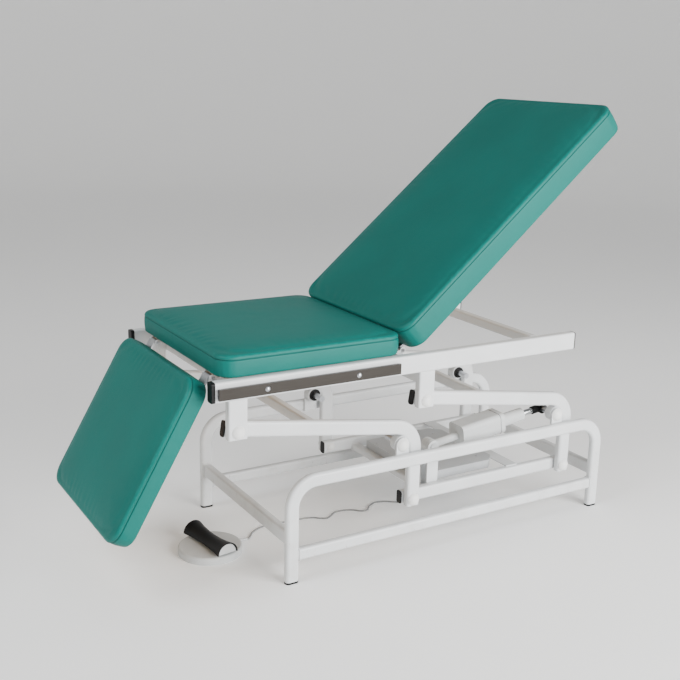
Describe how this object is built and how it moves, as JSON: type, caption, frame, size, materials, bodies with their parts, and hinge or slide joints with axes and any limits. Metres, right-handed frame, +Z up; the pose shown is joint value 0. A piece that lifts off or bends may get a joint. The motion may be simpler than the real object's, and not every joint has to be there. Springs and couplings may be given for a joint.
{
  "type": "treatment couch",
  "caption": "Electric treatment couch with a tilting backrest, a drop leg section and a bell-crank lift on a tubular base.",
  "frame": {"origin": "on the floor, at the middle of the base frame's length and width", "axes": "+X from the foot end to the head end, +Y across the couch away from the accessory rail, +Z up"},
  "size_m": [1.6592, 0.6505, 1.3259],
  "materials": {
    "frame_paint": "satin powder coat, light grey white",
    "black_plastic": "matt black",
    "white_plastic": "smooth white",
    "grey_plastic": "fine textured light grey",
    "zinc_steel": "bright zinc",
    "rail_steel": "brushed dark steel",
    "plywood": "plain birch plywood",
    "upholstery": "teal green artificial leather",
    "cable_jacket": "grey jacket"
  },
  "bodies": {
    "base": {"base_hoop_near": "frame_paint", "base_hoop_far": "frame_paint", "base_lower_rails": "frame_paint", "base_cross_tubes": "frame_paint", "foot_caps": "black_plastic", "pivot_lugs": "frame_paint", "base_pivot_pins": "zinc_steel", "base_pivot_domes": "white_plastic", "base_pivot_washers": "black_plastic", "foot_switch_base": "grey_plastic", "pedal_pivot": "black_plastic", "pedal_cable": "cable_jacket"},
    "front_crank": {"front_crank_near": "frame_paint", "front_crank_far": "frame_paint", "front_crank_tube": "frame_paint", "front_crank_caps": "black_plastic"},
    "rear_crank": {"rear_crank_near": "frame_paint", "rear_crank_far": "frame_paint", "rear_crank_tube": "frame_paint", "rear_crank_caps": "black_plastic"},
    "tie_frame": {"tie_bar_near": "frame_paint", "tie_bar_far": "frame_paint", "tie_cross_tube": "frame_paint", "tie_bar_caps": "black_plastic", "tie_pivot_pins": "zinc_steel", "tie_pivot_domes": "white_plastic", "tray": "frame_paint", "tray_strap": "frame_paint", "tray_screws": "zinc_steel", "control_box": "black_plastic", "mains_inlet": "black_plastic", "cable_gland": "black_plastic", "actuator_bracket": "frame_paint"},
    "actuator_rod": {"actuator_rod": "zinc_steel", "rod_clevis": "black_plastic"},
    "actuator_body": {"actuator_tube": "grey_plastic", "actuator_housing": "grey_plastic"},
    "upper_frame": {"side_rail_near": "frame_paint", "side_rail_far": "frame_paint", "rail_end_caps": "black_plastic", "upper_cross_tubes": "frame_paint", "upper_brackets": "frame_paint", "upper_pivot_pins": "zinc_steel", "upper_pivot_domes": "white_plastic", "accessory_rail": "rail_steel", "accessory_rail_screws": "zinc_steel", "seat_board": "plywood", "seat_cushion": "upholstery", "hinge_ears": "frame_paint", "hinge_pins": "zinc_steel"},
    "backrest": {"backrest_board": "plywood", "backrest_cushion": "upholstery", "backrest_hinges": "zinc_steel"},
    "legrest": {"legrest_board": "plywood", "legrest_cushion": "upholstery", "legrest_hinges": "zinc_steel"},
    "foot_pedal": {"foot_pedal": "black_plastic", "pedal_core": "grey_plastic"}
  },
  "joints": [
    {"name": "lift", "type": "hinge", "parent": "base", "child": "front_crank", "pos_m": [-0.19706, 0, 0.343], "axis": [0, 1, 0], "range_deg": [0, 36], "deforming": ["pedal_cable"]},
    {"name": "rear_crank_turn", "type": "hinge", "parent": "base", "child": "rear_crank", "pos_m": [0.40297, 0, 0.343], "axis": [0, 1, 0], "range_deg": [0, 36]},
    {"name": "upper_frame_level", "type": "hinge", "parent": "front_crank", "child": "upper_frame", "pos_m": [-0.73206, 0, 0.475], "axis": [0, 1, 0], "range_deg": [-36, 0]},
    {"name": "tie_frame_level", "type": "hinge", "parent": "front_crank", "child": "tie_frame", "pos_m": [-0.14506, 0, 0.156], "axis": [0, 1, 0], "range_deg": [-36, 0]},
    {"name": "actuator_swing", "type": "hinge", "parent": "base", "child": "actuator_rod", "pos_m": [0.40297, -0.203, 0.343], "axis": [0, 1, 0], "range_deg": [0, 1.44]},
    {"name": "actuator_stroke", "type": "slide", "parent": "actuator_rod", "child": "actuator_body", "axis": [-0.9924, 0, -0.1232], "range_m": [0, 0.1187]},
    {"name": "backrest_tilt", "type": "hinge", "parent": "upper_frame", "child": "backrest", "pos_m": [-0.17006, 0, 0.614], "axis": [0, -1, 0], "range_deg": [-40.5, 1.5]},
    {"name": "legrest_tilt", "type": "hinge", "parent": "upper_frame", "child": "legrest", "pos_m": [-0.76806, 0, 0.608], "axis": [0, 1, 0], "range_deg": [-24.4, 60.6]},
    {"name": "pedal_rock", "type": "hinge", "parent": "base", "child": "foot_pedal", "pos_m": [-0.69, -0.01, 0.038], "axis": [0.9903, 0.1392, 0], "range_deg": [-3, 3], "stiffness_Nm_per_rad": 4}
  ],
  "couplings": [
    {"joint": "rear_crank_turn", "follows": "lift", "ratio": 1},
    {"joint": "upper_frame_level", "follows": "lift", "ratio": -1},
    {"joint": "tie_frame_level", "follows": "lift", "ratio": -1},
    {"joint": "actuator_swing", "follows": "lift", "ratio": 0.04},
    {"joint": "actuator_stroke", "follows": "lift", "m_per_rad": 0.18876}
  ]
}
